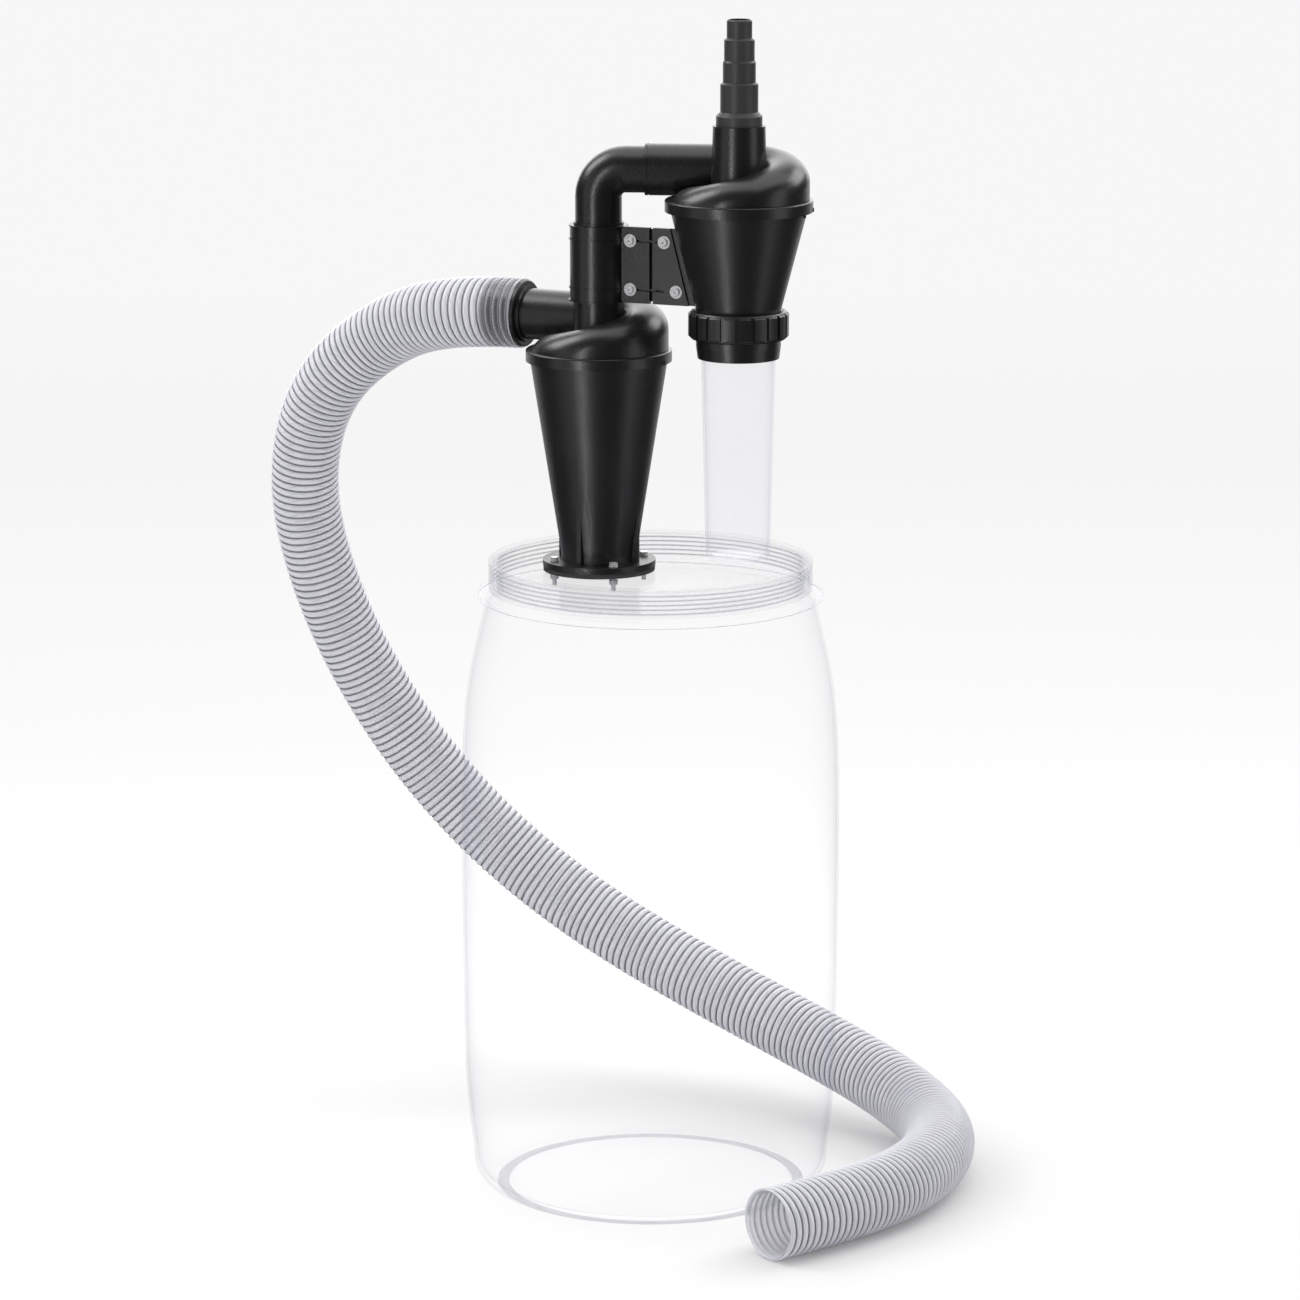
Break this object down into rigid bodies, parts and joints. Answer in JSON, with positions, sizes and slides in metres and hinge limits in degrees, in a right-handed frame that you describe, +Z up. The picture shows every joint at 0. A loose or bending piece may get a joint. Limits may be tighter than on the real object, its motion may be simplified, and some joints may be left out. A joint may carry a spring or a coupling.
{
  "type": "cyclone dust separator",
  "caption": "Two-stage cyclone dust separator on the screw lid of a clear drum, with a ribbed inlet hose, a clear fine-dust tube and a stepped outlet adapter.",
  "frame": {"origin": "centre of the drum's foot ring, on the floor", "axes": "+Z up along the drum's axis; +X from the primary cyclone's side to the secondary's; -Y to the front, where the bracket's screw heads face"},
  "size_m": [0.8051, 0.8013, 1.2957],
  "materials": {
    "clear_drum": "clear, glossy",
    "clear_lid": "clear, glossy",
    "clear_tube": "clear, glossy",
    "clear_hose": "translucent, ribbed, with a dark wire helix",
    "smooth_black": "satin",
    "grained_black": "fine grain",
    "dark_grey": "satin",
    "rubber": "matt",
    "pale_rubber": "matt",
    "grey_rubber": "matt",
    "steel": "bright"
  },
  "bodies": {
    "drum": {"drum_body": "clear_drum"},
    "separator": {"drum_lid": "clear_lid", "lid_seal": "pale_rubber", "flange_gasket": "grey_rubber", "flange_bolts": "steel", "flange_washers": "steel", "flange_nuts": "steel", "primary_cone": "grained_black", "primary_rim_seal": "rubber", "primary_head": "smooth_black", "pipe_sleeve": "smooth_black", "elbow_pipe": "smooth_black", "secondary_head": "smooth_black", "secondary_cone": "grained_black", "secondary_rim_seal": "rubber", "bracket_plate": "grained_black", "bracket_screws": "steel", "bracket_washers": "steel", "bracket_nuts": "steel", "tube_socket": "smooth_black", "tube_seal": "rubber", "dust_tube": "clear_tube", "stepped_adapter": "dark_grey", "hose_cuff": "smooth_black", "inlet_hose": "clear_hose"},
    "nut": {"union_nut": "grained_black"}
  },
  "joints": [
    {"name": "lid_turn", "type": "hinge", "parent": "drum", "child": "separator", "pos_m": [0, 0, 0.69], "axis": [0, 0, 1], "range_deg": [0, 180]},
    {"name": "nut_turn", "type": "hinge", "parent": "separator", "child": "nut", "pos_m": [0.096, 0.022, 0.965], "axis": [0, 0, 1], "range_deg": [0, 180]}
  ]
}
